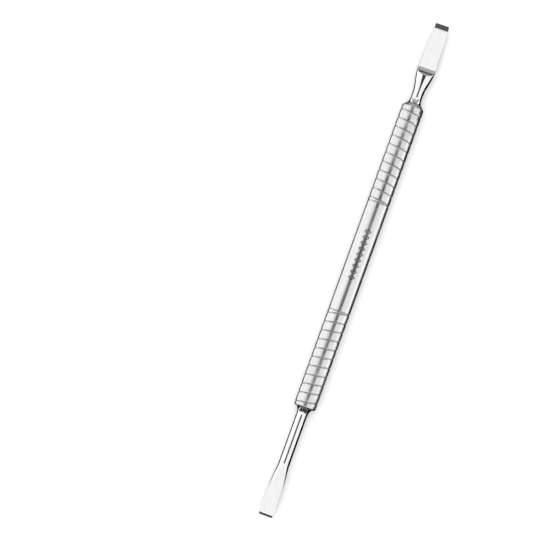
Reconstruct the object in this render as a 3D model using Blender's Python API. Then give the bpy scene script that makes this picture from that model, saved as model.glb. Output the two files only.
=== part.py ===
"""Cuticle pusher: a double-ended hand tool of stainless steel.

The tool lies along X with its working faces up.  The spoon-shaped pusher is at +X
and the flat scraper at -X.  A solid turned handle carries a helical grip groove at
each end.  Each tip is one piece: a blade, a neck, a flared collar that seats on the
handle's end, and a tang that is brazed into a blind socket.  All sizes are in metres.
The handle rests on Z = 0, and the origin is under the middle of the tool.
"""

import math

import bpy
import bmesh
from mathutils import Vector

# Overall sizes
HANDLE_LENGTH = 0.0863
HANDLE_DIAMETER = 0.0060
SPOON_REACH = 0.0231        # from the handle's end to the spoon's edge
SCRAPER_REACH = 0.0306      # from the handle's end to the scraper's edge

# Handle
RIM_LENGTH = 0.00060        # rounded rim at the scraper's end, along the handle
RIM_DEPTH = 0.00070         # and towards the axis
CONE_LENGTH = 0.0009        # cone at the spoon's end
CONE_DEPTH = 0.0008
GROOVE_PITCH = 0.0025
GROOVE_DEPTH = 0.00017
GROOVE_MOUTH = 0.00042      # width of the groove at the handle's surface
FIRST_GROOVE = 0.00165      # from the bar's full-width end to the first crossing in front
GRIP_LENGTH = 0.0273        # from there to the ring that closes the grip
LEAD_IN_TURN = 0.25         # share of a turn over which the groove deepens
SCRAPER_GRIP_HAND = 1       # right-hand helix
SPOON_GRIP_HAND = -1        # left-hand helix

# Fit between the handle and the tips
TANG_DIAMETER = 0.0030
TANG_LENGTH = 0.0120
TANG_CHAMFER = 0.0003
FIT_CLEARANCE = 0.00005     # on the radius, and between the collar and its seat
SOCKET_END_CLEARANCE = 0.0005
SOCKET_MOUTH_CHAMFER = 0.00025

# Braze rings, each in a groove of the tang
BRAZE_RING_WIDTH = 0.0015
BRAZE_RING_WALL = 0.00035
BRAZE_RING_SEAT = 0.0060    # from the collar's seat to the middle of the ring

# Collars and necks
COLLAR_STEP = 0.00005       # how far a collar's rim stands inside the handle's
COLLAR_LENGTH = 0.0021
NECK_DIAMETER = 0.0030

# Spoon
SPOON_NECK_END = 0.0031     # where the neck starts to widen
SPOON_SHOULDER = 0.0096     # where the blade is widest
SPOON_WIDTH = 0.00485
SPOON_TIP_WIDTH = 0.00374
SPOON_BACK_DEPTH = 0.0010   # the back's depth below the axis
SPOON_BACK_FULLNESS = 2.6   # 2 is an oval back, more is a flatter one
SPOON_EDGE_FULLNESS = 9.0   # the back's fullness at the edge, where the corners are square
SPOON_TOP_FULLNESS = 2.0
SPOON_FACE_START = 0.0107   # where the run-out meets the face
SPOON_FACE_HEIGHT = 0.00028 # the face over the axis, at its start
SPOON_FACE_SLOPE = 0.030    # how fast the face falls towards the edge
SPOON_FACE_SAG = 0.00007    # hollow along the face
SPOON_CROSS_SAG = 0.00007   # hollow across the face
SPOON_RUN_OUT = 0.0032      # radius of the run-out
SPOON_BEVEL_LENGTH = 0.0015
SPOON_EDGE = 0.0002         # thickness left at the edge

# Scraper
SCRAPER_NECK_END = 0.0155
SCRAPER_SHOULDER = 0.0213
SCRAPER_SHOULDER_WIDTH = 0.00376
SCRAPER_TIP_WIDTH = 0.0040
SCRAPER_TOP_HEIGHT = 0.0012     # of the flattened bar over the axis, before it is ground
SCRAPER_TOP_FULLNESS = 4.0
SCRAPER_BACK_DEPTH = 0.00095
SCRAPER_BACK_FULLNESS = 3.0
SCRAPER_FACE_START = 0.0166     # where the ground face leaves the round neck
SCRAPER_FACE_SLOPE = 0.14
SCRAPER_BEVEL_LENGTH = 0.0003
SCRAPER_EDGE = 0.00028

CORNER_ROUND = 0.00016      # the blades' corners, seen from the front
CUTTER_ROOM = 0.0010        # how far a cutter reaches past the metal
SIDES = 32

HANDLE_RADIUS = HANDLE_DIAMETER / 2
NECK_RADIUS = NECK_DIAMETER / 2
SCRAPER_COLLAR_RADIUS = HANDLE_RADIUS - RIM_DEPTH - COLLAR_STEP
SPOON_COLLAR_RADIUS = HANDLE_RADIUS - CONE_DEPTH - COLLAR_STEP
TANG_RADIUS = TANG_DIAMETER / 2
SOCKET_RADIUS = TANG_RADIUS + FIT_CLEARANCE
SOCKET_DEPTH = FIT_CLEARANCE + TANG_LENGTH + SOCKET_END_CLEARANCE
OVERALL_LENGTH = SCRAPER_REACH + HANDLE_LENGTH + SPOON_REACH
AXIS_HEIGHT = HANDLE_RADIUS
SCRAPER_SEAT_X = SCRAPER_REACH - OVERALL_LENGTH / 2
SPOON_SEAT_X = SCRAPER_SEAT_X + HANDLE_LENGTH


def clear_scene():
    """Remove every object, so that the file holds only the tool."""
    for thing in list(bpy.data.objects):
        bpy.data.objects.remove(thing, do_unlink=True)


def steel(name, colour, roughness):
    """A bare metal finish."""
    material = bpy.data.materials.new(name)
    material.use_nodes = True
    shader = material.node_tree.nodes["Principled BSDF"]
    shader.inputs["Base Color"].default_value = (*colour, 1.0)
    shader.inputs["Metallic"].default_value = 1.0
    shader.inputs["Roughness"].default_value = roughness
    material.diffuse_color = (*colour, 1.0)
    return material


def smoothstep(value, start, end):
    """0 before start, 1 after end, and an even S between them."""
    share = min(max((value - start) / (end - start), 0.0), 1.0)
    return share * share * (3 - 2 * share)


def blend(first, second, share):
    return first + (second - first) * share


def spread(start, end, count):
    """Evenly spaced values that include both ends."""
    return [blend(start, end, step / (count - 1)) for step in range(count)]


def section(along, half_width, top, back, top_fullness=2.0, back_fullness=2.0):
    """A closed ring across the axis, with its flat sides touching the given sizes."""
    grow = 1 / math.cos(math.pi / SIDES)
    ring = []
    for step in range(SIDES):
        angle = 2 * math.pi * (step + 0.5) / SIDES
        side, up = math.sin(angle), math.cos(angle)
        height = top if up > 0 else back
        power = 2 / (top_fullness if up > 0 else back_fullness)
        y = math.copysign(abs(side) ** power, side) * half_width * grow
        z = math.copysign(abs(up) ** power, up) * height * grow
        ring.append(Vector((along, y, z)))
    return ring


def circle(along, radius):
    return section(along, radius, radius, radius)


def loft(name, rings, rounded=True):
    """A closed mesh through rings of equal point counts, capped at both ends."""
    shape = bmesh.new()
    loops = [[shape.verts.new(point) for point in ring] for ring in rings]
    for near, far in zip(loops, loops[1:]):
        for index in range(len(near)):
            following = (index + 1) % len(near)
            shape.faces.new((near[index], near[following], far[following], far[index]))
    shape.faces.new(loops[0])
    shape.faces.new(loops[-1])
    return finished_mesh(name, shape, rounded)


def finished_mesh(name, shape, rounded=True):
    """Turn a bmesh into a mesh, shaded smooth except at its sharp edges if it is rounded."""
    bmesh.ops.recalc_face_normals(shape, faces=shape.faces)
    mesh = bpy.data.meshes.new(name)
    shape.to_mesh(mesh)
    shape.free()
    if rounded:
        mesh.shade_smooth()
        mesh.set_sharp_from_angle(angle=math.radians(30))
    return mesh


def add_object(name, mesh, parent, along=0.0, turned=False):
    """Place a mesh on the tool's axis, turned end for end where it points to -X."""
    thing = bpy.data.objects.new(name, mesh)
    bpy.context.collection.objects.link(thing)
    thing.parent = parent
    thing.location.x = along
    if turned:
        thing.rotation_euler.z = math.pi
    return thing


def add_cutter(name, mesh, target, along=0.0, turned=False):
    """Subtract a mesh from an object with a Boolean modifier."""
    cutter = add_object(name, mesh, target.parent, along, turned)
    cutter.display_type = "WIRE"
    cutter.hide_render = True
    cut = target.modifiers.new(name, "BOOLEAN")
    cut.operation = "DIFFERENCE"
    cut.solver = "EXACT"
    cut.object = cutter
    return cutter


# Handle

def socket_profile():
    """Distance from an end and radius, from the blind socket's floor to its mouth."""
    return [
        (SOCKET_DEPTH, SOCKET_RADIUS),
        (SOCKET_MOUTH_CHAMFER, SOCKET_RADIUS),
        (0.0, SOCKET_RADIUS + SOCKET_MOUTH_CHAMFER),
    ]


def ring_profile(grip_start):
    """The V-shaped ring that closes a grip, which starts at the bar's full width."""
    middle = grip_start + GRIP_LENGTH
    return [
        (middle - GROOVE_MOUTH / 2, HANDLE_RADIUS),
        (middle, HANDLE_RADIUS - GROOVE_DEPTH),
        (middle + GROOVE_MOUTH / 2, HANDLE_RADIUS),
    ]


def scraper_end_profile():
    """The rounded rim at the scraper's end."""
    profile = []
    for angle in spread(0, math.pi / 2, 5):
        radius = HANDLE_RADIUS - RIM_DEPTH * (1 - math.sin(angle))
        profile.append((RIM_LENGTH * (1 - math.cos(angle)), radius))
    return profile


def spoon_end_profile():
    """The cone at the spoon's end."""
    return [(0.0, HANDLE_RADIUS - CONE_DEPTH), (CONE_LENGTH, HANDLE_RADIUS)]


def handle_mesh():
    """The turned bar with a blind socket in each end and a plain ring at each grip."""
    near = socket_profile() + scraper_end_profile() + ring_profile(0.0)
    far = socket_profile() + spoon_end_profile() + ring_profile(CONE_LENGTH)
    far = [(HANDLE_LENGTH - along, radius) for along, radius in reversed(far)]
    return loft("handle_bar", [circle(along, radius) for along, radius in near + far])


def groove_cutter_mesh(hand):
    """A V-shaped thread from the bar's full-width end, which is at 0, to the grip's ring."""
    slope = GROOVE_MOUTH / 2 / GROOVE_DEPTH
    outer_radius = HANDLE_RADIUS + CUTTER_ROOM / 2
    outer_half = slope * (outer_radius - HANDLE_RADIUS + GROOVE_DEPTH)
    grow = 1 / math.cos(math.pi / SIDES)
    lead_steps = round(LEAD_IN_TURN * SIDES)
    first_step = -SIDES // 2 + 1
    last_step = int(SIDES * (GRIP_LENGTH - FIRST_GROOVE) / GROOVE_PITCH)
    rings = []
    for step in range(first_step, last_step + 1):
        angle = 2 * math.pi * (step + 0.5) / SIDES
        along = FIRST_GROOVE + GROOVE_PITCH * (step + 0.5) / SIDES
        depth = GROOVE_DEPTH * smoothstep(step, first_step - 1, first_step + lead_steps)
        lift = GROOVE_DEPTH - depth
        corners = [
            (outer_radius + lift, -outer_half),
            (outer_radius + lift, outer_half),
            (HANDLE_RADIUS - depth, 0.0),
        ]
        out = Vector((0.0, -hand * math.sin(angle), math.cos(angle))) * grow
        rings.append([out * radius + Vector((along + shift, 0, 0)) for radius, shift in corners])
    return loft("groove_cutter", rings, rounded=False)


def make_handle(root, material):
    handle = add_object("handle_bar", handle_mesh(), root, SCRAPER_SEAT_X)
    handle.data.materials.append(material)
    scraper_groove = groove_cutter_mesh(SCRAPER_GRIP_HAND)
    spoon_groove = groove_cutter_mesh(-SPOON_GRIP_HAND)
    for vertex in spoon_groove.vertices:
        vertex.co.x = -vertex.co.x
    spoon_groove.flip_normals()
    add_cutter("scraper_grip_cutter", scraper_groove, handle, SCRAPER_SEAT_X)
    add_cutter("spoon_grip_cutter", spoon_groove, handle, SPOON_SEAT_X - CONE_LENGTH)
    return handle


# Tips: each is modelled with the handle's end at 0 and the blade towards +X

def tang_rings():
    """The tang with its chamfered end and the groove that holds the braze ring."""
    seat = FIT_CLEARANCE
    ring_middle = seat - BRAZE_RING_SEAT
    half_groove = BRAZE_RING_WIDTH / 2 + FIT_CLEARANCE
    groove_radius = TANG_RADIUS - BRAZE_RING_WALL - FIT_CLEARANCE
    return [
        circle(seat - TANG_LENGTH, TANG_RADIUS - TANG_CHAMFER),
        circle(seat - TANG_LENGTH + TANG_CHAMFER, TANG_RADIUS),
        circle(ring_middle - half_groove, TANG_RADIUS),
        circle(ring_middle - half_groove, groove_radius),
        circle(ring_middle + half_groove, groove_radius),
        circle(ring_middle + half_groove, TANG_RADIUS),
        circle(seat, TANG_RADIUS),
    ]


def collar_rings(collar_radius):
    """The trumpet that flares from the neck to the handle's end."""
    rings = []
    for angle in spread(0, math.pi / 2, 8):
        along = blend(FIT_CLEARANCE, COLLAR_LENGTH, 1 - math.cos(angle))
        rings.append(circle(along, blend(collar_radius, NECK_RADIUS, math.sin(angle))))
    return rings


def corner_inset(along, reach):
    """How far a blade's corner is rounded in, at a distance from the handle."""
    into_corner = (along - reach + CORNER_ROUND) / CORNER_ROUND
    if into_corner <= 0:
        return 0.0
    return CORNER_ROUND * (1 - math.sqrt(max(1 - into_corner ** 2, 0.0)))


def spoon_section(along):
    """The ring across the spoon before its face is ground: an oval with a rounded back."""
    grown = smoothstep(along, SPOON_NECK_END, SPOON_SHOULDER)
    toward_edge = max(along - SPOON_SHOULDER, 0.0) / (SPOON_REACH - SPOON_SHOULDER)
    width = blend(NECK_DIAMETER, blend(SPOON_WIDTH, SPOON_TIP_WIDTH, toward_edge), grown)
    back = blend(NECK_RADIUS, SPOON_BACK_DEPTH, grown)
    blade_fullness = blend(SPOON_BACK_FULLNESS, SPOON_EDGE_FULLNESS, toward_edge)
    half_width = width / 2 - corner_inset(along, SPOON_REACH)
    return section(
        along, half_width, NECK_RADIUS, back,
        blend(2.0, SPOON_TOP_FULLNESS, grown), blend(2.0, blade_fullness, grown),
    )


def scraper_section(along):
    """The ring across the scraper before its face is ground: a bar pressed flat."""
    grown = smoothstep(along, SCRAPER_NECK_END, SCRAPER_SHOULDER)
    toward_edge = max(along - SCRAPER_SHOULDER, 0.0) / (SCRAPER_REACH - SCRAPER_SHOULDER)
    blade_width = blend(SCRAPER_SHOULDER_WIDTH, SCRAPER_TIP_WIDTH, toward_edge)
    half_width = blend(NECK_DIAMETER, blade_width, grown) / 2
    top = blend(NECK_RADIUS, SCRAPER_TOP_HEIGHT, grown)
    back = blend(NECK_RADIUS, SCRAPER_BACK_DEPTH, grown)
    return section(
        along, half_width - corner_inset(along, SCRAPER_REACH), top, back,
        blend(2.0, SCRAPER_TOP_FULLNESS, grown), blend(2.0, SCRAPER_BACK_FULLNESS, grown),
    )


def blade_stations(neck_end, shoulder, reach):
    """Where the rings of a blade are, from the end of the round neck to the edge."""
    stations = spread(neck_end, shoulder, 12)
    stations += spread(shoulder, reach - CORNER_ROUND, 5)[1:]
    return stations + [reach - CORNER_ROUND * (1 - share) for share in (0.5, 0.85, 1.0)]


def spoon_face(along, across):
    """Height of the spoon's hollow face over the axis, with its run-out to the neck."""
    from_start = along - SPOON_FACE_START
    face_length = SPOON_REACH - SPOON_FACE_START
    share = min(max(from_start / face_length, 0.0), 1.0)
    height = SPOON_FACE_HEIGHT - SPOON_FACE_SLOPE * from_start
    height -= 4 * SPOON_FACE_SAG * share * (1 - share)
    height += SPOON_CROSS_SAG * (across / (SPOON_WIDTH / 2)) ** 2
    up_run_out = max(-from_start, 0.0)
    return height + SPOON_RUN_OUT - math.sqrt(SPOON_RUN_OUT ** 2 - up_run_out ** 2)


def scraper_face(along, across):
    """Height of the scraper's flat face over the axis."""
    return NECK_RADIUS - SCRAPER_FACE_SLOPE * (along - SCRAPER_FACE_START)


def face_cutter_mesh(name, face, stations, reach, bevel_slope, half_width, columns):
    """A block over the blade, whose underside is the face and the bevel at the edge.

    The last station is where the bevel starts."""
    bevel_start = stations[-1]
    half_block = half_width + CUTTER_ROOM
    ceiling = HANDLE_RADIUS + CUTTER_ROOM
    rings = []
    for along in stations + [reach + CUTTER_ROOM / 2]:
        past_bevel = max(along - bevel_start, 0.0)
        ring = []
        for across in spread(-half_block, half_block, columns):
            height = face(min(along, bevel_start), across) - bevel_slope * past_bevel
            ring.append(Vector((along, across, height)))
        ring.append(Vector((along, half_block, ceiling)))
        ring.append(Vector((along, -half_block, ceiling)))
        rings.append(ring)
    return loft(name, rings, rounded=False)


def make_tip(name, collar_radius, blade_rings, root, material, seat, turned):
    rings = tang_rings() + collar_rings(collar_radius) + blade_rings
    tip = add_object(name, loft(name, rings), root, seat, turned)
    tip.data.materials.append(material)
    return tip


def make_spoon(root, material):
    """The pusher: a spoon-shaped blade with a hollow face and a bevelled edge."""
    stations = blade_stations(SPOON_NECK_END, SPOON_SHOULDER, SPOON_REACH)
    rings = [spoon_section(along) for along in stations]
    tip = make_tip("spoon_tip", SPOON_COLLAR_RADIUS, rings, root, material, SPOON_SEAT_X, False)
    clear_rise = min(NECK_RADIUS + CUTTER_ROOM / 2 - SPOON_FACE_HEIGHT, 0.9 * SPOON_RUN_OUT)
    run_out = math.sqrt(SPOON_RUN_OUT ** 2 - (SPOON_RUN_OUT - clear_rise) ** 2)
    bevel_start = SPOON_REACH - SPOON_BEVEL_LENGTH
    bevel_drop = spoon_face(bevel_start, 0.0) + SPOON_BACK_DEPTH - SPOON_EDGE
    cuts = spread(SPOON_FACE_START - run_out, SPOON_FACE_START, 10)
    cuts += spread(SPOON_FACE_START, bevel_start, 5)[1:]
    cutter = face_cutter_mesh(
        "spoon_face_cutter", spoon_face, cuts, SPOON_REACH,
        bevel_drop / SPOON_BEVEL_LENGTH, SPOON_WIDTH / 2, 7,
    )
    add_cutter("spoon_face_cutter", cutter, tip, SPOON_SEAT_X)
    return tip


def make_scraper(root, material):
    """The scraper: a flat chisel blade on a long round neck."""
    stations = blade_stations(SCRAPER_NECK_END, SCRAPER_SHOULDER, SCRAPER_REACH)
    rings = [scraper_section(along) for along in stations]
    tip = make_tip(
        "scraper_tip", SCRAPER_COLLAR_RADIUS, rings, root, material, SCRAPER_SEAT_X, True,
    )
    bevel_start = SCRAPER_REACH - SCRAPER_BEVEL_LENGTH
    bevel_drop = scraper_face(bevel_start, 0.0) + SCRAPER_BACK_DEPTH - SCRAPER_EDGE
    cutter = face_cutter_mesh(
        "scraper_face_cutter", scraper_face,
        [SCRAPER_FACE_START - CUTTER_ROOM, bevel_start], SCRAPER_REACH,
        bevel_drop / SCRAPER_BEVEL_LENGTH, SCRAPER_TIP_WIDTH / 2, 2,
    )
    add_cutter("scraper_face_cutter", cutter, tip, SCRAPER_SEAT_X, True)
    return tip


def braze_ring_mesh():
    """A ring of filler metal between the tang's groove and the socket's wall."""
    inner = TANG_RADIUS - BRAZE_RING_WALL
    half = BRAZE_RING_WIDTH / 2
    corners = [(-half, inner), (half, inner), (half, TANG_RADIUS), (-half, TANG_RADIUS)]
    loops = [circle(along, radius) for along, radius in corners]
    shape = bmesh.new()
    rows = [[shape.verts.new(point) for point in loop] for loop in loops]
    for near, far in zip(rows, rows[1:] + rows[:1]):
        for index in range(SIDES):
            following = (index + 1) % SIDES
            shape.faces.new((near[index], near[following], far[following], far[index]))
    return finished_mesh("braze_ring", shape)


def make_braze_rings(root, material):
    mesh = braze_ring_mesh()
    mesh.materials.append(material)
    depth = BRAZE_RING_SEAT - FIT_CLEARANCE
    add_object("spoon_braze_ring", mesh, root, SPOON_SEAT_X - depth)
    add_object("scraper_braze_ring", mesh, root, SCRAPER_SEAT_X + depth)


def main():
    clear_scene()
    root = bpy.data.objects.new("tool_axis", None)
    bpy.context.collection.objects.link(root)
    root.location.z = AXIS_HEIGHT
    satin = steel("satin_stainless_steel", (0.62, 0.62, 0.63), 0.38)
    mirror = steel("mirror_polished_stainless_steel", (0.78, 0.78, 0.79), 0.08)
    filler = steel("silver_braze_alloy", (0.80, 0.74, 0.56), 0.35)
    make_handle(root, satin)
    make_spoon(root, mirror)
    make_scraper(root, mirror)
    make_braze_rings(root, filler)


main()
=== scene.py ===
# %% [markdown]
# # A double-ended cuticle pusher
#
# The tool is a satin steel handle with a polished spoon-shaped pusher at one end and a
# polished flat scraper at the other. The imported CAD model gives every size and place.
# This script adds the fine surfaces, the finishes, the light and the camera.
#
# The model is loaded first, so that each later step can measure it.

# %% Load the frame
import math

import bmesh
import bpy
from mathutils import Matrix, Vector


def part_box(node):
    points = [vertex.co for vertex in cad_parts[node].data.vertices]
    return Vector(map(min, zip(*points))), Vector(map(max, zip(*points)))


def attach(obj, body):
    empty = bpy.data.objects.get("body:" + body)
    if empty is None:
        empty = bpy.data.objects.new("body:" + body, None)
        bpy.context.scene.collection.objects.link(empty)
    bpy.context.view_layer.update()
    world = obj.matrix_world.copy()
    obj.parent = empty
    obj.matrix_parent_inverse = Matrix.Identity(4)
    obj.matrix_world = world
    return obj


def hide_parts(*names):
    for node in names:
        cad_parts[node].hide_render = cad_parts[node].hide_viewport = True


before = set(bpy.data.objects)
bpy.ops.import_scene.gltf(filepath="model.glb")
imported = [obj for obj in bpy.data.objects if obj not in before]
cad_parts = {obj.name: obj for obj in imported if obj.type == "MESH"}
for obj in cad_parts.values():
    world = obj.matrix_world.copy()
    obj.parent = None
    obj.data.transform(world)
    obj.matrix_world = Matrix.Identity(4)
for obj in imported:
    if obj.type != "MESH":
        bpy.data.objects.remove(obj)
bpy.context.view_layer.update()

MM = 0.001

# %% [markdown]
# ## Where things are
#
# The handle lies along X and rests on the floor. Its box gives the axis, the radius and
# both ends. Each tip is measured from the end of the handle that it sits on, so that one
# set of helpers can build both tips.

# %% Measure the frame
handle_low, handle_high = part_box("handle_bar")
spoon_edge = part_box("spoon_tip")[1][0]
scraper_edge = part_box("scraper_tip")[0][0]

handle_radius = (handle_high[2] - handle_low[2]) / 2
axis_height = (handle_high[2] + handle_low[2]) / 2
handle_length = handle_high[0] - handle_low[0]
spoon_reach = spoon_edge - handle_high[0]
scraper_reach = handle_low[0] - scraper_edge
print(f"handle {handle_length / MM:.1f} mm long, {2 * handle_radius / MM:.2f} mm thick")
print(f"spoon reaches {spoon_reach / MM:.1f} mm, scraper {scraper_reach / MM:.1f} mm")

# %% [markdown]
# ## The camera
#
# The tool is seen from almost straight above, at arm's length, and leans to the right.
# A camera is placed by its matrix: its three columns are what points right, up and
# backwards. "Up" starts along the tool and is then turned by the lean.

# %% Camera
CAMERA_FOOT = Vector((-18.0, 0.0, 0.0)) * MM
CAMERA_HEIGHT = 400 * MM
AIM = Vector((-7.35, 22.4, 0.0)) * MM
LEAN = math.radians(19.98)
LENS = 100.9

axis_lift = Vector((0, 0, axis_height))
eye = CAMERA_FOOT + axis_lift + Vector((0, 0, CAMERA_HEIGHT))
forward = (AIM + axis_lift - eye).normalized()
along_tool = (Vector((1, 0, 0)) - forward * forward.x).normalized()
across_tool = forward.cross(along_tool)
up = along_tool * math.cos(LEAN) - across_tool * math.sin(LEAN)
right = forward.cross(up)

camera = bpy.data.objects.new("camera", bpy.data.cameras.new("camera"))
bpy.context.collection.objects.link(camera)
camera.data.lens = LENS
camera.data.sensor_width = 36
camera.data.clip_start = 5 * MM
camera.matrix_world = Matrix((right, up, -forward)).transposed().to_4x4()
camera.matrix_world.translation = eye
bpy.context.scene.camera = camera
print("camera", round((eye - AIM).length / MM), "mm from its aim")

# %% [markdown]
# ## Floor and surroundings
#
# Bare metal has hardly any colour of its own: it shows what is around it. So the
# surroundings are built like a small photo studio. A bright, even world and a white floor
# are the light tent. The dark bands along the handle and the necks are the reflection of
# dark cards, as a photographer would hang them.
#
# A card must not darken the floor or be seen itself. Blender can hide an object from
# each kind of ray, and only the glossy rays are left on here.

# %% Floor and world
bpy.context.scene.view_settings.view_transform = "Standard"


def new_material(name):
    """A node material that holds one Principled shader."""
    material = bpy.data.materials.new(name)
    material.use_nodes = True
    shader = material.node_tree.nodes["Principled BSDF"]
    shader.location = (300, 0)
    return material, shader


def flat_sheet(name, corners, material):
    """One four-sided face through the corners."""
    mesh = bpy.data.meshes.new(name)
    mesh.from_pydata(corners, [], [(0, 1, 2, 3)])
    mesh.materials.append(material)
    sheet = bpy.data.objects.new(name, mesh)
    bpy.context.collection.objects.link(sheet)
    return sheet


floor_paint, floor_shader = new_material("white_floor")
floor_shader.inputs["Base Color"].default_value = (0.92, 0.92, 0.92, 1)
floor_shader.inputs["Roughness"].default_value = 0.9
floor_shader.inputs["Specular IOR Level"].default_value = 0.1
FLOOR_HALF = 3.0
flat_sheet(
    "floor",
    [(-FLOOR_HALF, -FLOOR_HALF, 0), (FLOOR_HALF, -FLOOR_HALF, 0),
     (FLOOR_HALF, FLOOR_HALF, 0), (-FLOOR_HALF, FLOOR_HALF, 0)],
    floor_paint,
)

world = bpy.data.worlds.new("light_tent")
bpy.context.scene.world = world
world.use_nodes = True
world.node_tree.nodes["Background"].inputs["Color"].default_value = (1, 1, 1, 1)
world.node_tree.nodes["Background"].inputs["Strength"].default_value = 1.06
print("floor and light tent ready")

# %% Dark cards that only reflections see
def card(name, brightness, corners):
    """A sheet with an even glow that only glossy rays can see."""
    glow = bpy.data.materials.new(name)
    glow.use_nodes = True
    nodes = glow.node_tree.nodes
    nodes.clear()
    emission = nodes.new("ShaderNodeEmission")
    emission.inputs["Strength"].default_value = brightness
    output = nodes.new("ShaderNodeOutputMaterial")
    glow.node_tree.links.new(emission.outputs[0], output.inputs["Surface"])
    sheet = flat_sheet(name, corners, glow)
    sheet.visible_camera = False
    sheet.visible_diffuse = False
    sheet.visible_shadow = False
    sheet.visible_transmission = False
    sheet.visible_volume_scatter = False
    return sheet


def level_card(name, brightness, x_range, y_range, height):
    """A card that lies level, over the tool or just above the floor."""
    (x0, x1), (y0, y1) = x_range, y_range
    corners = [(x0, y0, height), (x1, y0, height), (x1, y1, height), (x0, y1, height)]
    return card(name, brightness, corners)


def end_card(name, brightness, x, z_range, half_width):
    """A card that stands across the tool's line, beyond one of its ends."""
    (z0, z1), w = z_range, half_width
    return card(name, brightness, [(x, -w, z0), (x, w, z0), (x, w, z1), (x, -w, z1)])


def side_card(name, brightness, x_range, y, top):
    """A card that stands on the floor beside the tool."""
    (x0, x1) = x_range
    return card(name, brightness, [(x0, y, 0), (x1, y, 0), (x1, y, top), (x0, y, top)])


FLOOR_CARD_HEIGHT = 0.2 * MM
NECK_CARD_Y, NECK_CARD_TOP = -0.030, 8 * MM
END_DISTANCE = 0.60                # from the tool's middle to the cards beyond its ends
low_end, high_end = handle_low[0], handle_high[0]
level_card("card_overhead", 0.02, (-0.095, 0.135), (-0.106, 0.118), axis_height + 0.400)
level_card("card_under_handle", 0.0, (low_end, high_end), (-0.019, 0.008), FLOOR_CARD_HEIGHT)
level_card("card_under_spoon", 0.0, (high_end, 0.075), (-0.040, 0.014), FLOOR_CARD_HEIGHT)
level_card("card_under_scraper", 0.0, (-0.300, low_end), (-0.040, 0.014), FLOOR_CARD_HEIGHT)
side_card("card_beside_spoon_neck", 0.0, (0.0465, 0.0585), NECK_CARD_Y, NECK_CARD_TOP)
side_card("card_beside_scraper_neck", 0.0, (-0.0640, -0.0400), NECK_CARD_Y, NECK_CARD_TOP)
end_card("card_spoon_end_low", 0.10, END_DISTANCE, (0.0, 0.31), 0.30)
end_card("card_spoon_end_high", 0.46, END_DISTANCE, (0.31, 1.16), 1.5)
end_card("card_scraper_end", 0.06, -END_DISTANCE, (0.0, 1.05), 1.5)
print("cards hung")

# %% [markdown]
# The left side of the handle is a little brighter than the right one, and the right
# side has a bright line low down. A wide, weak softbox on each side does it, seen only
# by glossy rays, as the cards are. The third light is the other way round: it lifts the
# floor to white, so that only a faint shadow is left close to the tool, and glossy rays
# don't see it, because steel would show it as a bright square.

# %% Softboxes
def softbox(name, place, target, width, height, glow):
    """An area light; glow is how bright its surface is, as the world's strength is."""
    light = bpy.data.lights.new(name, "AREA")
    light.shape = "RECTANGLE"
    light.size = width
    light.size_y = height
    light.energy = glow * math.pi * width * height
    lamp = bpy.data.objects.new(name, light)
    bpy.context.collection.objects.link(lamp)
    lamp.location = place
    lamp.rotation_euler = (Vector(target) - Vector(place)).to_track_quat("-Z", "Y").to_euler()
    return lamp


left_light = softbox("softbox_left", (0.0, 0.75, 0.45), (0, 0, 0), 1.0, 0.6, 0.20)
right_light = softbox("softbox_right", (0.0, -0.80, 0.10), (0, 0, 0.1), 1.4, 0.20, 0.45)
for side_light in (left_light, right_light):
    side_light.visible_diffuse = False
floor_light = softbox("softbox_floor", (0.1, 0.2, 0.9), (0, 0, 0), 1.2, 1.2, 1.1)
floor_light.visible_glossy = False
print("softboxes lit")

# %% [markdown]
# ## Helpers for turned and forged shapes
#
# Every piece of this tool is a stack of rings along one axis, so the shapes are lofts:
# rings of points, joined by faces. A lathe profile (Screw or Spin) could make the
# handle's plain parts, but not its helical groove or the flattened blades.

# %% Small helpers
def smoothstep(value, start, end):
    """0 before start, 1 after end, and an even S between them."""
    share = min(max((value - start) / (end - start), 0.0), 1.0)
    return share * share * (3 - 2 * share)


def between(first, second, share):
    return first + (second - first) * share


def spread(start, end, count):
    """Evenly spaced values that include both ends."""
    return [between(start, end, step / (count - 1)) for step in range(count)]


def piece_from_rings(name, rings, diagonals, place, turned=False):
    """A closed piece through rings of equal size, capped at both ends.

    diagonals says for each gap between two rings how its faces are split: 0 leaves
    four-sided faces, 1 and -1 split them along a right-hand or left-hand helix."""
    sides = len(rings[0])
    points = [point for ring in rings for point in ring]
    faces = []
    for row, split in enumerate(diagonals):
        for side in range(sides):
            here = row * sides + side
            beside = row * sides + (side + 1) % sides
            above, corner = here + sides, beside + sides
            if split == 0:
                faces.append((here, beside, corner, above))
            elif split > 0:
                faces += [(here, beside, corner), (here, corner, above)]
            else:
                faces += [(here, beside, above), (beside, corner, above)]
    faces.append(tuple(range(sides)))
    faces.append(tuple(range(len(points) - sides, len(points))))
    mesh = bpy.data.meshes.new(name)
    mesh.from_pydata(points, [], faces)
    fix = bmesh.new()
    fix.from_mesh(mesh)
    bmesh.ops.recalc_face_normals(fix, faces=fix.faces)
    fix.to_mesh(mesh)
    fix.free()
    piece = bpy.data.objects.new(name, mesh)
    bpy.context.collection.objects.link(piece)
    piece.location = (place, 0, axis_height)
    if turned:
        piece.rotation_euler.z = math.pi
    print(name, len(mesh.polygons), "faces")
    return piece


# %% [markdown]
# ## The handle
#
# The real handle is a bar of 6 mm turned on a lathe. Near each end the lathe cuts a fine
# screw thread that gives the fingers grip, and a plain ring closes the grip. The two
# threads run in opposite hands.
#
# A Screw modifier or a Boolean cutter would leave ragged faces where the groove starts
# and ends. Here the handle is one grid of points instead, and the groove is a rule that
# says how far each point is pushed in. The rows of the grid are spaced so that one step
# round the bar and one step along it follow the groove exactly. With each face split
# along that diagonal, the groove's walls come out smooth.

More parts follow.
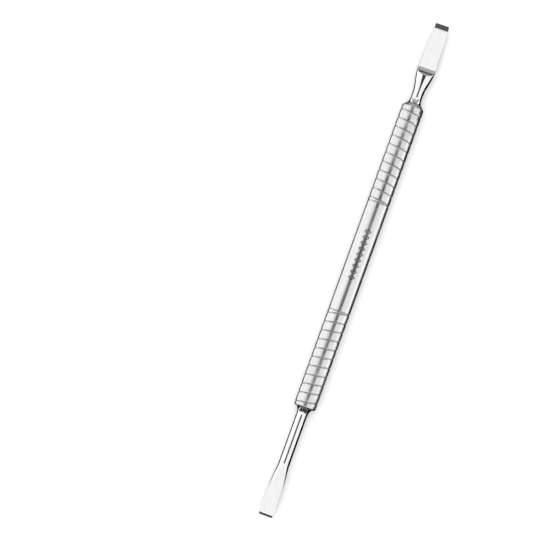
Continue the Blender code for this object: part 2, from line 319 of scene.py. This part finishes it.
# %% Handle sizes
COLUMNS = 64                       # points round the bar
GROOVE_PITCH = 2.5 * MM
GROOVE_DEPTH = 0.17 * MM
GROOVE_HALF = 0.22 * MM            # half of the groove's width at the surface
FIRST_GROOVE = 1.65 * MM           # from the bar's full-width end to the first front crossing
GRIP_LENGTH = 27.3 * MM            # to the ring that closes the grip
LAND_CROWN = 0.035 * MM            # how far the lands between grooves fall at their sides
CROWN_START, CROWN_FULL = 0.3 * MM, 1.6 * MM       # where the crown grows in
CROWN_FADE = 0.6 * MM              # and how long it fades before the closing ring
CUT_IN_START, CUT_IN_FULL = -0.5, -0.22            # turns from the first front crossing
HANDLE_CREASE = math.radians(38)   # edges sharper than this stay sharp
RIM_LENGTH, RIM_DEPTH = 0.60 * MM, 0.70 * MM       # rounded rim at the scraper's end
CONE_LENGTH, CONE_DEPTH = 0.9 * MM, 0.8 * MM       # cone at the spoon's end
SOCKET_RADIUS, SOCKET_CHAMFER, SOCKET_DEPTH = 1.55 * MM, 0.25 * MM, 12.55 * MM

row_step = GROOVE_PITCH / COLUMNS
print("one row of the grip is", round(row_step / MM, 4), "mm")


# %% The groove's rule
def valley(distance):
    """1 in the middle of a groove, 0 at its lips, with rounded lips and floor."""
    share = min(abs(distance) / GROOVE_HALF, 1.0)
    return 0.5 + 0.5 * math.cos(math.pi * share)


def grip_depth(from_end, turn):
    """How deep the grip is cut, at a distance from the bar's full-width end.

    turn is the angle round the bar as a share of one turn, 0 at the front."""
    ring_distance = from_end - GRIP_LENGTH
    depth = GROOVE_DEPTH * valley(ring_distance)
    if from_end > GRIP_LENGTH:
        return depth
    offset = from_end - FIRST_GROOVE - GROOVE_PITCH * turn
    whole_turns = round(offset / GROOVE_PITCH)
    distance = offset - whole_turns * GROOVE_PITCH
    turned_so_far = whole_turns + turn
    cut_in = smoothstep(turned_so_far, CUT_IN_START, CUT_IN_FULL)
    crown = LAND_CROWN * (1 - 2 * abs(distance) / GROOVE_PITCH) ** 2
    crown *= smoothstep(from_end, CROWN_START, CROWN_FULL)
    crown *= 1 - smoothstep(from_end, GRIP_LENGTH - CROWN_FADE, GRIP_LENGTH)
    return max(depth, GROOVE_DEPTH * cut_in * valley(distance)) + crown


print("depth in front at the first groove:", round(grip_depth(FIRST_GROOVE, 0.0) / MM, 3), "mm")


# %% Handle rows
def bar_radius(along):
    """The handle's radius before the grips are cut, from the scraper's end."""
    if along < RIM_LENGTH:
        share = 1 - along / RIM_LENGTH
        return handle_radius - RIM_DEPTH * (1 - math.sqrt(max(1 - share ** 2, 0)))
    to_spoon_end = handle_length - along
    if to_spoon_end < CONE_LENGTH:
        return handle_radius - CONE_DEPTH * (1 - to_spoon_end / CONE_LENGTH)
    return handle_radius


def grip_rows(first, last):
    """Distances of rows on the groove's own spacing, between two limits."""
    low = math.ceil((first - FIRST_GROOVE) / row_step)
    high = math.floor((last - FIRST_GROOVE) / row_step)
    return [FIRST_GROOVE + row_step * step for step in range(low, high + 1)]


rim_rows = [RIM_LENGTH * (1 - math.cos(angle)) for angle in spread(0, math.pi / 2, 9)]
grip_end = GRIP_LENGTH + GROOVE_HALF + 2 * row_step
scraper_rows = grip_rows(RIM_LENGTH + row_step, grip_end)
spoon_rows = [handle_length - CONE_LENGTH - v for v in grip_rows(row_step, grip_end)][::-1]
plain_rows = spread(scraper_rows[-1], spoon_rows[0], 40)[1:-1]
cone_rows = [handle_length - CONE_LENGTH * (1 - s) for s in (0, 0.05, 0.5, 0.95, 1.0)]
rows = rim_rows + scraper_rows + plain_rows + spoon_rows + cone_rows
print(len(rows), "rows along the handle")


# %% Handle piece
def handle_ring(along):
    """Points round the handle at one distance, with the grip cut into them."""
    ring = []
    near_scraper = along < handle_length / 2
    from_end = along if near_scraper else handle_length - CONE_LENGTH - along
    for column in range(COLUMNS):
        turn = column / COLUMNS
        turn = turn - 1 if turn >= 0.5 else turn
        radius = bar_radius(along) - grip_depth(from_end, turn)
        angle = 2 * math.pi * turn
        ring.append((along, -radius * math.sin(angle), radius * math.cos(angle)))
    return ring


def plain_ring(along, radius, count=COLUMNS):
    angles = [2 * math.pi * step / count for step in range(count)]
    return [(along, -radius * math.sin(a), radius * math.cos(a)) for a in angles]


def socket_rings(end, inward):
    """The blind hole that takes a tip's tang, from its floor out to its mouth."""
    return [
        plain_ring(end + inward * SOCKET_DEPTH, SOCKET_RADIUS),
        plain_ring(end + inward * SOCKET_CHAMFER, SOCKET_RADIUS),
        plain_ring(end, SOCKET_RADIUS + SOCKET_CHAMFER),
    ]


near_socket = socket_rings(0.0, 1)
far_socket = socket_rings(handle_length, -1)[::-1]
handle_rings = near_socket + [handle_ring(along) for along in rows] + far_socket
splits = []
for ring, following in zip(handle_rings, handle_rings[1:]):
    middle = (ring[0][0] + following[0][0]) / 2
    step = following[0][0] - ring[0][0]
    fine = 0 < step < 1.5 * row_step
    splits.append(0 if not fine else (1 if middle < handle_length / 2 else -1))

handle = piece_from_rings("turned_handle", handle_rings, splits, handle_low[0])
handle.data.shade_smooth()
handle.data.set_sharp_from_angle(angle=HANDLE_CREASE)
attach(handle, "root")
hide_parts("handle_bar")

# %% [markdown]
# ## The tips
#
# Each tip is forged from one rod: a tang that goes into the handle, a flared collar, a
# round neck and a blade. The blade's face is then ground flat or slightly hollow. A
# Boolean cut would do that in Blender too, but on a mirror finish every uneven face it
# leaves would show.
#
# So each ring is built with the grinding already in it. The ring starts as a rounded
# outline. The ground face cuts it at an angle that is searched for, and the ring's
# points are dealt out anew: some across the face, the rest round the back. The sharp
# edge between them is then rounded a little, as a polishing wheel leaves it.

# %% Outline and ground face
FACE_POINTS = 27
BACK_POINTS = 63
SMALLEST_FACE = math.radians(7)      # where nothing is ground yet, the face is this narrow
EDGE_ROUNDING = 0.05 * MM
ROUNDING_POINTS = 6
TIP_CREASE = math.radians(20)        # edges sharper than this stay sharp


def outline_point(shape, angle):
    """A point of a ring before grinding. The angle is 0 in front and pi at the back."""
    half_width, top, back, top_fullness, back_fullness = shape
    side, rise = math.sin(angle), math.cos(angle)
    height = top if rise > 0 else back
    power = 2 / (top_fullness if rise > 0 else back_fullness)
    across = math.copysign(abs(side) ** power, side) * half_width
    return across, math.copysign(abs(rise) ** power, rise) * height


def outline_top(shape, across):
    """The outline's height in front, at a distance across from the middle."""
    half_width, top, _, fullness, _ = shape
    share = min(abs(across) / half_width, 1.0)
    return top * (1 - share ** fullness) ** (1 / fullness)


def edge_angle(shape, face):
    """Where round the outline the ground face ends."""
    low, high = 0.0, math.pi
    for _ in range(40):
        middle = (low + high) / 2
        across, height = outline_point(shape, middle)
        if height > face(across):
            low = middle
        else:
            high = middle
    return max(low, SMALLEST_FACE)


# %% One ring of a tip
def rounded_corner(before, corner, after):
    """Points that replace a sharp corner of a ring by a small curve."""
    def toward(point):
        reach = min(EDGE_ROUNDING, 0.45 * (point - corner).length)
        return corner + (point - corner).normalized() * reach
    start, end = toward(before), toward(after)
    points = []
    for share in spread(0, 1, ROUNDING_POINTS):
        points.append(start.lerp(corner, share).lerp(corner.lerp(end, share), share))
    return points


def ground_ring(along, shape, face):
    """A ring across a tip, with its front ground down to the face."""
    edge = edge_angle(shape, face)
    half_face = outline_point(shape, edge)[0]
    front = []
    for across in spread(-half_face, half_face, FACE_POINTS):
        front.append(Vector((along, across, min(outline_top(shape, across), face(across)))))
    round_back = spread(edge, 2 * math.pi - edge, BACK_POINTS + 2)[1:-1]
    back = [Vector((along, *outline_point(shape, angle))) for angle in round_back]
    left = rounded_corner(back[-1], front[0], front[1])
    right = rounded_corner(front[-2], front[-1], back[0])
    return left + front[1:-1] + right + back


def no_face(across):
    """A face so high over the axis that nothing is ground away."""
    return 1.0


def round_rings(profile):
    """Round rings from distances and radii, with as many points as a ground ring."""
    rings = []
    for along, radius in profile:
        rings.append(ground_ring(along, (radius, radius, radius, 2, 2), no_face))
    return rings


print("ring points:", len(round_rings([(0, 1 * MM)])[0]))

# %% [markdown]
# The tang, the collar and the neck are round and the same on both tips, except for the
# collar's width. The tang is hidden in the handle, with a groove for the braze ring.

# %% Tang, collar and neck
NECK_RADIUS = 1.5 * MM
COLLAR_LENGTH = 2.1 * MM
COLLAR_STEP = 0.05 * MM
SEAT_GAP = 0.05 * MM
TANG_LENGTH, TANG_CHAMFER = 12.0 * MM, 0.3 * MM
RING_MIDDLE, RING_HALF, RING_GROOVE = 5.95 * MM, 0.80 * MM, 0.40 * MM


def tang_profile():
    tang_end = SEAT_GAP - TANG_LENGTH
    groove_radius = NECK_RADIUS - RING_GROOVE
    return [
        (tang_end, NECK_RADIUS - TANG_CHAMFER),
        (tang_end + TANG_CHAMFER, NECK_RADIUS),
        (-RING_MIDDLE - RING_HALF, NECK_RADIUS),
        (-RING_MIDDLE - RING_HALF, groove_radius),
        (-RING_MIDDLE + RING_HALF, groove_radius),
        (-RING_MIDDLE + RING_HALF, NECK_RADIUS),
        (SEAT_GAP, NECK_RADIUS),
    ]


def collar_profile(collar_radius):
    """The trumpet that flares from the neck to the handle's end."""
    profile = []
    for angle in spread(0, math.pi / 2, 28):
        along = between(SEAT_GAP, COLLAR_LENGTH, 1 - math.cos(angle))
        profile.append((along, between(collar_radius, NECK_RADIUS, math.sin(angle))))
    return profile


spoon_collar = handle_radius - CONE_DEPTH - COLLAR_STEP
scraper_collar = handle_radius - RIM_DEPTH - COLLAR_STEP
print("collars", round(2 * spoon_collar / MM, 2), "and", round(2 * scraper_collar / MM, 2), "mm")

# %% [markdown]
# ## The spoon-shaped pusher
#
# The neck widens into a blade with a rounded back. Its face is a shallow hollow that
# rises in a curve at the neck, where the grinding wheel ran out, and ends in a bevel
# at the working edge.

# %% Spoon shape
CORNER_ROUND = 0.16 * MM
SPOON_NECK_END, SPOON_SHOULDER = 3.1 * MM, 9.6 * MM
SPOON_WIDTH, SPOON_TIP_WIDTH = 4.85 * MM, 3.74 * MM
SPOON_BACK = 1.0 * MM
SPOON_FULLNESS, SPOON_EDGE_FULLNESS = 2.6, 9.0      # of the back, from oval to square
SPOON_FACE_START, SPOON_FACE_HEIGHT, SPOON_FACE_SLOPE = 10.7 * MM, 0.28 * MM, 0.030
SPOON_SAG = 0.07 * MM
SPOON_RUN_OUT = 3.2 * MM
SPOON_BEVEL, SPOON_EDGE = 1.5 * MM, 0.2 * MM
SPOON_DENSE_START = 7.6 * MM         # where the rings move closer together


def corner_inset(along, reach):
    """How far a blade's corner is rounded in, near its working edge."""
    into = (along - reach + CORNER_ROUND) / CORNER_ROUND
    return 0.0 if into <= 0 else CORNER_ROUND * (1 - math.sqrt(max(1 - into ** 2, 0.0)))


def spoon_shape(along):
    grown = smoothstep(along, SPOON_NECK_END, SPOON_SHOULDER)
    toward_edge = max(along - SPOON_SHOULDER, 0.0) / (spoon_reach - SPOON_SHOULDER)
    blade_width = between(SPOON_WIDTH, SPOON_TIP_WIDTH, toward_edge)
    half_width = between(2 * NECK_RADIUS, blade_width, grown) / 2
    back = between(NECK_RADIUS, SPOON_BACK, grown)
    blade_fullness = between(SPOON_FULLNESS, SPOON_EDGE_FULLNESS, toward_edge)
    fullness = between(2.0, blade_fullness, grown)
    return half_width - corner_inset(along, spoon_reach), NECK_RADIUS, back, 2.0, fullness


def spoon_hollow(along, across):
    """Height of the hollow face over the axis, with its run-out to the neck."""
    from_start = along - SPOON_FACE_START
    share = min(max(from_start / (spoon_reach - SPOON_FACE_START), 0.0), 1.0)
    height = SPOON_FACE_HEIGHT - SPOON_FACE_SLOPE * from_start
    height -= 4 * SPOON_SAG * share * (1 - share)
    height += SPOON_SAG * (across / (SPOON_WIDTH / 2)) ** 2
    up_run_out = min(max(-from_start, 0.0), 0.99 * SPOON_RUN_OUT)
    return height + SPOON_RUN_OUT - math.sqrt(SPOON_RUN_OUT ** 2 - up_run_out ** 2)


def bevelled(face, reach, bevel_length, edge_height):
    """The face with its bevel, which falls to the working edge at edge_height."""
    start = reach - bevel_length
    slope = (face(start, 0.0) - edge_height) / bevel_length

    def height(along, across):
        return face(min(along, start), across) - slope * max(along - start, 0.0)
    return height


spoon_face = bevelled(spoon_hollow, spoon_reach, SPOON_BEVEL, SPOON_EDGE - SPOON_BACK)
bevel_tilt = math.degrees(math.atan((spoon_face(spoon_reach - SPOON_BEVEL, 0)
                                     - spoon_face(spoon_reach, 0)) / SPOON_BEVEL))
print("spoon bevel tilts", round(bevel_tilt, 1), "degrees")


# %% Spoon piece
def blade_rows(neck_end, dense_start, dense_end, bevel_start, reach):
    """Distances of rings along a blade, closest together where it changes most."""
    crease = 0.012 * MM
    rows = spread(neck_end, dense_start, 30)
    rows += spread(dense_start, dense_end, 56)[1:]
    rows += spread(dense_end, bevel_start - crease, 26)[1:]
    tail = max(reach - CORNER_ROUND, bevel_start + 2 * crease)
    rows += spread(bevel_start + crease, tail, 10)
    return rows + [between(tail, reach, math.sin(angle)) for angle in spread(0, math.pi / 2, 12)[1:]]


def blade_rings(rows, shape, face):
    rings = []
    for along in rows:
        def height(across):
            return face(along, across)
        rings.append(ground_ring(along, shape(along), height))
    return rings


def make_tip(name, collar_radius, rings, seat, turned, node):
    all_rings = round_rings(tang_profile() + collar_profile(collar_radius)) + rings
    tip = piece_from_rings(name, all_rings, [0] * (len(all_rings) - 1), seat, turned)
    tip.data.shade_smooth()
    tip.data.set_sharp_from_angle(angle=TIP_CREASE)
    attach(tip, "root")
    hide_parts(node)
    return tip


spoon_rings = blade_rings(
    blade_rows(SPOON_NECK_END, SPOON_DENSE_START, SPOON_FACE_START,
               spoon_reach - SPOON_BEVEL, spoon_reach),
    spoon_shape, spoon_face,
)
spoon = make_tip("forged_spoon_tip", spoon_collar, spoon_rings, handle_high[0], False, "spoon_tip")

# %% [markdown]
# ## The flat scraper
#
# The long neck is pressed flat towards its end, and one plane is ground across it. Where
# the plane leaves the round neck it draws a long pointed arch, which needs no modelling:
# it comes from the plane and the round meeting.

# %% Scraper piece
SCRAPER_NECK_END, SCRAPER_SHOULDER = 15.5 * MM, 21.3 * MM
SCRAPER_SHOULDER_WIDTH, SCRAPER_TIP_WIDTH = 3.76 * MM, 4.0 * MM
SCRAPER_TOP, SCRAPER_TOP_FULLNESS = 1.2 * MM, 4.0
SCRAPER_BACK, SCRAPER_BACK_FULLNESS = 0.95 * MM, 3.0
SCRAPER_FACE_START, SCRAPER_FACE_SLOPE = 16.6 * MM, 0.14
SCRAPER_BEVEL, SCRAPER_EDGE = 0.3 * MM, 0.28 * MM
SCRAPER_DENSE_START = 16.4 * MM


def scraper_shape(along):
    grown = smoothstep(along, SCRAPER_NECK_END, SCRAPER_SHOULDER)
    toward_edge = max(along - SCRAPER_SHOULDER, 0.0) / (scraper_reach - SCRAPER_SHOULDER)
    blade_width = between(SCRAPER_SHOULDER_WIDTH, SCRAPER_TIP_WIDTH, toward_edge)
    half_width = between(2 * NECK_RADIUS, blade_width, grown) / 2
    return (
        half_width - corner_inset(along, scraper_reach),
        between(NECK_RADIUS, SCRAPER_TOP, grown),
        between(NECK_RADIUS, SCRAPER_BACK, grown),
        between(2.0, SCRAPER_TOP_FULLNESS, grown),
        between(2.0, SCRAPER_BACK_FULLNESS, grown),
    )


def scraper_plane(along, across):
    """Height of the flat ground face over the axis, the same all the way across."""
    return NECK_RADIUS - SCRAPER_FACE_SLOPE * (along - SCRAPER_FACE_START)


scraper_face = bevelled(scraper_plane, scraper_reach, SCRAPER_BEVEL, SCRAPER_EDGE - SCRAPER_BACK)
scraper_rings = blade_rings(
    blade_rows(SCRAPER_NECK_END, SCRAPER_DENSE_START, SCRAPER_SHOULDER,
               scraper_reach - SCRAPER_BEVEL, scraper_reach),
    scraper_shape, scraper_face,
)
scraper = make_tip(
    "forged_scraper_tip", scraper_collar, scraper_rings, handle_low[0], True, "scraper_tip",
)

# %% [markdown]
# ## Finishes
#
# Three things make bare steel look real up close: a fine texture left by the last tool
# that touched it, roughness that is not quite even, and small marks of handling. Each
# is a node group with named sockets, so both steels can use it with their own values.
#
# Coordinates are the object's own, in metres. A texture's scale is one over the size
# that is wanted, so sizes stay real and the pattern doesn't stretch.

# %% Node helpers
def node_group(name, inputs, outputs):
    """An empty shader group with float inputs that have defaults, and its sockets."""
    group = bpy.data.node_groups.new(name, "ShaderNodeTree")
    group.interface.new_socket(name="Place", in_out="INPUT", socket_type="NodeSocketVector")
    for label, value in inputs:
        kind = "NodeSocketFloat"
        socket = group.interface.new_socket(name=label, in_out="INPUT", socket_type=kind)
        socket.default_value = value
    for label in outputs:
        group.interface.new_socket(name=label, in_out="OUTPUT", socket_type="NodeSocketFloat")
    start = group.nodes.new("NodeGroupInput")
    end = group.nodes.new("NodeGroupOutput")
    start.location = (-900, 0)
    end.location = (900, 0)
    return group, start, end


def feed(tree, socket, value):
    """Link a node's output to a socket, or set the socket to a number."""
    if hasattr(value, "is_output"):
        tree.links.new(value, socket)
    else:
        socket.default_value = value


def maths(tree, operation, first, second=0.0, clamp=False):
    node = tree.nodes.new("ShaderNodeMath")
    node.operation = operation
    node.use_clamp = clamp
    feed(tree, node.inputs[0], first)
    feed(tree, node.inputs[1], second)
    return node.outputs[0]


def remap(tree, value, low, high, new_low, new_high):
    """Move a value from one range to another with a soft start and end."""
    node = tree.nodes.new("ShaderNodeMapRange")
    node.interpolation_type = "SMOOTHSTEP"
    labels = ("Value", "From Min", "From Max", "To Min", "To Max")
    for label, number in zip(labels, (value, low, high, new_low, new_high)):
        feed(tree, node.inputs[label], number)
    return node.outputs["Result"]


def noise(tree, place, scale, detail=2.0):
    node = tree.nodes.new("ShaderNodeTexNoise")
    feed(tree, node.inputs["Vector"], place)
    feed(tree, node.inputs["Scale"], scale)
    node.inputs["Detail"].default_value = detail
    return node.outputs["Fac"]


def stretched(tree, place, factors):
    """Coordinates multiplied along each axis, which stretches a texture where it is under 1."""
    node = tree.nodes.new("ShaderNodeVectorMath")
    node.operation = "MULTIPLY"
    tree.links.new(place, node.inputs[0])
    node.inputs[1].default_value = factors
    return node.outputs[0]


def around(tree, value, middle, amount):
    """A 0 to 1 value turned into middle plus or minus half the amount."""
    centred = maths(tree, "SUBTRACT", value, 0.5)
    return maths(tree, "ADD", middle, maths(tree, "MULTIPLY", centred, amount))


print("node helpers ready")

# %% [markdown]
# Bead blasting leaves tiny shallow dents all over. They are much smaller than the eye
# can part, so what shows is a soft gloss with a faint sparkle, and slow changes where
# the nozzle passed more or less often.

# %% Blasted grain group
blasted, grain_in, grain_out = node_group(
    "blasted_grain",
    [("Grain Size", 0.12 * MM), ("Roughness", 0.25), ("Roughness Spread", 0.08)],
    ["Tone", "Roughness", "Height"],
)
fine_scale = maths(blasted, "DIVIDE", 1.0, grain_in.outputs["Grain Size"])
fine_dents = noise(blasted, grain_in.outputs["Place"], fine_scale, 3.0)
slow_scale = maths(blasted, "DIVIDE", fine_scale, 45.0)
slow_passes = noise(blasted, stretched(blasted, grain_in.outputs["Place"], (0.35, 1, 1)), slow_scale)
mixed = maths(blasted, "ADD", maths(blasted, "MULTIPLY", fine_dents, 0.4),
              maths(blasted, "MULTIPLY", slow_passes, 0.6))
grain_roughness = around(blasted, mixed, grain_in.outputs["Roughness"],
                         grain_in.outputs["Roughness Spread"])
blasted.links.new(grain_roughness, grain_out.inputs["Roughness"])
blasted.links.new(remap(blasted, mixed, 0.3, 0.7, 0.95, 1.0), grain_out.inputs["Tone"])
blasted.links.new(fine_dents, grain_out.inputs["Height"])
print(blasted.name, len(blasted.nodes), "nodes")

# %% [markdown]
# A polishing wheel runs along the tip and leaves hair-fine lines. They are drawn with a
# noise that is stretched along the tool.

# %% Polish lines group
polish, lines_in, lines_out = node_group(
    "polish_lines",
    [("Line Width", 0.05 * MM), ("Roughness", 0.06), ("Roughness Spread", 0.04)],
    ["Tone", "Roughness", "Height"],
)
line_scale = maths(polish, "DIVIDE", 1.0, lines_in.outputs["Line Width"])
hair_lines = noise(polish, stretched(polish, lines_in.outputs["Place"], (0.02, 1, 1)), line_scale)
broad_scale = maths(polish, "DIVIDE", line_scale, 14.0)
broad_lines = noise(polish, stretched(polish, lines_in.outputs["Place"], (0.08, 1, 1)), broad_scale)
lines = maths(polish, "ADD", maths(polish, "MULTIPLY", hair_lines, 0.5),
              maths(polish, "MULTIPLY", broad_lines, 0.5))
line_roughness = around(polish, lines, lines_in.outputs["Roughness"],
                        lines_in.outputs["Roughness Spread"])
polish.links.new(line_roughness, lines_out.inputs["Roughness"])
polish.links.new(remap(polish, lines, 0.3, 0.7, 0.96, 1.0), lines_out.inputs["Tone"])
polish.links.new(lines, lines_out.inputs["Height"])
print(polish.name, len(polish.nodes), "nodes")

# %% [markdown]
# Fingers leave a faint film in soft patches. It only takes a little gloss away.

# %% Handling haze group
haze, haze_in, haze_out = node_group(
    "handling_haze", [("Patch Size", 5 * MM), ("Strength", 0.05)], ["Roughness Added", "Film"],
)
patch_scale = maths(haze, "DIVIDE", 1.0, haze_in.outputs["Patch Size"])
patches = noise(haze, haze_in.outputs["Place"], patch_scale, 4.0)
film = remap(haze, patches, 0.48, 0.66, 0.0, 1.0)
haze.links.new(film, haze_out.inputs["Film"])
haze.links.new(maths(haze, "MULTIPLY", film, haze_in.outputs["Strength"]),
               haze_out.inputs["Roughness Added"])
print(haze.name, len(haze.nodes), "nodes")

# %% [markdown]
# The grooves get painted shade: their base colour is darker than the lands', standing in
# for the shade that falls into them, and they are a little rougher. The mask comes from
# the shape. A groove is simply where the surface is nearer to the axis than the bar's radius.

# %% Depth below the bar's surface
# the mask marks the grooves, for their painted shade and their extra roughness
sunken, sunken_in, sunken_out = node_group(
    "groove_shade_and_roughness_mask", [("Radius", handle_radius), ("Full Depth", GROOVE_DEPTH)], ["Mask"],
)
axes = sunken.nodes.new("ShaderNodeSeparateXYZ")
sunken.links.new(sunken_in.outputs["Place"], axes.inputs[0])
y_squared = maths(sunken, "MULTIPLY", axes.outputs["Y"], axes.outputs["Y"])
z_squared = maths(sunken, "MULTIPLY", axes.outputs["Z"], axes.outputs["Z"])
from_axis = maths(sunken, "SQRT", maths(sunken, "ADD", y_squared, z_squared))
below = maths(sunken, "SUBTRACT", sunken_in.outputs["Radius"], from_axis)
share_below = maths(sunken, "DIVIDE", below, sunken_in.outputs["Full Depth"])
sunken.links.new(remap(sunken, share_below, 0.28, 0.8, 0.0, 1.0), sunken_out.inputs["Mask"])
print(sunken.name, len(sunken.nodes), "nodes")

# %% [markdown]
# The handle's front carries a small etched ornament: a row of lozenges. They could be
# cut into the mesh, but laser etching has no depth that could be seen or felt, so a mask
# in the material is closer to the real thing.

# %% Etched lozenges group
etched, etch_in, etch_out = node_group(
    "etched_lozenges",
    [("Row Start", 36.1 * MM), ("Spacing", 1.62 * MM), ("Count", 9.0),
     ("Length", 1.62 * MM), ("Width", 2.1 * MM)],
    ["Mask"],
)
where = etched.nodes.new("ShaderNodeSeparateXYZ")
etched.links.new(etch_in.outputs["Place"], where.inputs[0])
from_row = maths(etched, "SUBTRACT", where.outputs["X"], etch_in.outputs["Row Start"])
in_cells = maths(etched, "DIVIDE", from_row, etch_in.outputs["Spacing"])
in_cell = maths(etched, "SUBTRACT", maths(etched, "FRACT", in_cells), 0.5)
from_middle = maths(etched, "MULTIPLY", maths(etched, "ABSOLUTE", in_cell),
                    etch_in.outputs["Spacing"])
length_share = maths(etched, "DIVIDE", from_middle, etch_in.outputs["Length"])
width_share = maths(etched, "DIVIDE", maths(etched, "ABSOLUTE", where.outputs["Y"]),
                    etch_in.outputs["Width"])
lozenge = maths(etched, "MULTIPLY", maths(etched, "ADD", length_share, width_share), 2.0)
inside = remap(etched, lozenge, 0.93, 1.0, 1.0, 0.0)
hollow = remap(etched, lozenge, 0.58, 0.66, 1.0, 0.0)
heart = remap(etched, lozenge, 0.22, 0.30, 1.0, 0.0)
solid = maths(etched, "ADD", maths(etched, "SUBTRACT", inside, hollow), heart)
after_start = maths(etched, "GREATER_THAN", in_cells, 0.0)
before_end = maths(etched, "LESS_THAN", in_cells, etch_in.outputs["Count"])
in_front = maths(etched, "GREATER_THAN", where.outputs["Z"], 0.0)
in_row = maths(etched, "MULTIPLY", maths(etched, "MULTIPLY", after_start, before_end), in_front)
etched.links.new(maths(etched, "MULTIPLY", solid, in_row), etch_out.inputs["Mask"])
print(etched.name, len(etched.nodes), "nodes")

# %% [markdown]
# ## Putting the finishes on
#
# Steel is a metal, so Metallic is 1 and the base colour is the colour of its
# reflections. Roughness decides satin or mirror. The groups make it uneven.

# %% Material helpers
def place_group(tree, group, coordinates, **values):
    """A group node in a material, with its own values; names use _ for a space."""
    node = tree.nodes.new("ShaderNodeGroup")
    node.node_tree = group
    node.name = group.name
    tree.links.new(coordinates, node.inputs["Place"])
    for label, value in values.items():
        node.inputs[label.replace("_", " ")].default_value = value
    return node


def tinted(tree, dark, bright, factor):
    """A colour between two colours."""
    node = tree.nodes.new("ShaderNodeMix")
    node.data_type = "RGBA"
    node.inputs["A"].default_value = (*dark, 1)
    node.inputs["B"].default_value = (*bright, 1)
    tree.links.new(factor, node.inputs["Factor"])
    return node.outputs["Result"]


def covered(tree, colour, over, factor):
    """A colour with another one over it where the factor is 1."""
    node = tree.nodes.new("ShaderNodeMix")
    node.data_type = "RGBA"
    tree.links.new(colour, node.inputs["A"])
    node.inputs["B"].default_value = (*over, 1)
    tree.links.new(factor, node.inputs["Factor"])
    return node.outputs["Result"]


def bump(tree, shader, height, distance):
    node = tree.nodes.new("ShaderNodeBump")
    node.inputs["Distance"].default_value = distance
    tree.links.new(height, node.inputs["Height"])
    tree.links.new(node.outputs["Normal"], shader.inputs["Normal"])


print("material helpers ready")

# %% Satin steel of the handle
satin, satin_shader = new_material("satin_blasted_steel")
tree = satin.node_tree
satin_shader.inputs["Metallic"].default_value = 1.0
coordinates = tree.nodes.new("ShaderNodeTexCoord").outputs["Object"]
grain = place_group(tree, blasted, coordinates, Grain_Size=0.12 * MM, Roughness=0.26,
                    Roughness_Spread=0.10)
film_on_handle = place_group(tree, haze, coordinates, Patch_Size=6 * MM, Strength=0.05)
groove = place_group(tree, sunken, coordinates)
lozenges = place_group(tree, etched, coordinates)

tone = remap(tree, grain.outputs["Tone"], 0.95, 1.0, 0.0, 1.0)
steel_colour = tinted(tree, (0.70, 0.70, 0.71), (0.76, 0.76, 0.765), tone)
# painted shade: the grooves' base colour is darkened where the surface sinks below the bar
steel_colour = covered(tree, steel_colour, (0.66, 0.66, 0.665), groove.outputs["Mask"])
steel_colour = covered(tree, steel_colour, (0.10, 0.10, 0.105), lozenges.outputs["Mask"])
tree.links.new(steel_colour, satin_shader.inputs["Base Color"])

roughness = maths(tree, "ADD", grain.outputs["Roughness"],
                  film_on_handle.outputs["Roughness Added"])
marks = maths(tree, "MAXIMUM", groove.outputs["Mask"], lozenges.outputs["Mask"])
roughness = maths(tree, "ADD", roughness, maths(tree, "MULTIPLY", marks, 0.18), clamp=True)
tree.links.new(roughness, satin_shader.inputs["Roughness"])
bump(tree, satin_shader, grain.outputs["Height"], 0.004 * MM)
handle.data.materials.append(satin)
print(satin.name, len(tree.nodes), "nodes")

# %% Mirror steel of the tips
mirror, mirror_shader = new_material("mirror_polished_steel")
tree = mirror.node_tree
mirror_shader.inputs["Metallic"].default_value = 1.0
coordinates = tree.nodes.new("ShaderNodeTexCoord").outputs["Object"]
wheel = place_group(tree, polish, coordinates, Line_Width=0.05 * MM, Roughness=0.035,
                    Roughness_Spread=0.03)
film_on_tip = place_group(tree, haze, coordinates, Patch_Size=4 * MM, Strength=0.03)
tone = remap(tree, wheel.outputs["Tone"], 0.96, 1.0, 0.0, 1.0)
polished_colour = tinted(tree, (0.82, 0.82, 0.825), (0.88, 0.88, 0.885), tone)
tree.links.new(polished_colour, mirror_shader.inputs["Base Color"])
roughness = maths(tree, "ADD", wheel.outputs["Roughness"],
                  film_on_tip.outputs["Roughness Added"], clamp=True)
tree.links.new(roughness, mirror_shader.inputs["Roughness"])
bump(tree, mirror_shader, wheel.outputs["Height"], 0.0003 * MM)
spoon.data.materials.append(mirror)
scraper.data.materials.append(mirror)
print(mirror.name, len(tree.nodes), "nodes")

# %% [markdown]
# The two braze rings are inside the sockets. Their CAD shape is right, so they keep it
# and only get a finish: silver filler metal, which is a little yellow and dull.

# %% Braze alloy of the rings
filler, filler_shader = new_material("silver_braze_filler")
tree = filler.node_tree
filler_shader.inputs["Metallic"].default_value = 1.0
coordinates = tree.nodes.new("ShaderNodeTexCoord").outputs["Object"]
ripples = place_group(tree, blasted, coordinates, Grain_Size=0.3 * MM, Roughness=0.35,
                      Roughness_Spread=0.12)
tone = remap(tree, ripples.outputs["Tone"], 0.95, 1.0, 0.0, 1.0)
filler_colour = tinted(tree, (0.70, 0.63, 0.45), (0.82, 0.76, 0.58), tone)
tree.links.new(filler_colour, filler_shader.inputs["Base Color"])
tree.links.new(ripples.outputs["Roughness"], filler_shader.inputs["Roughness"])
bump(tree, filler_shader, ripples.outputs["Height"], 0.01 * MM)
for name in ("spoon_braze_ring", "scraper_braze_ring"):
    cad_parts[name].data.materials.clear()
    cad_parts[name].data.materials.append(filler)
print("braze rings finished")
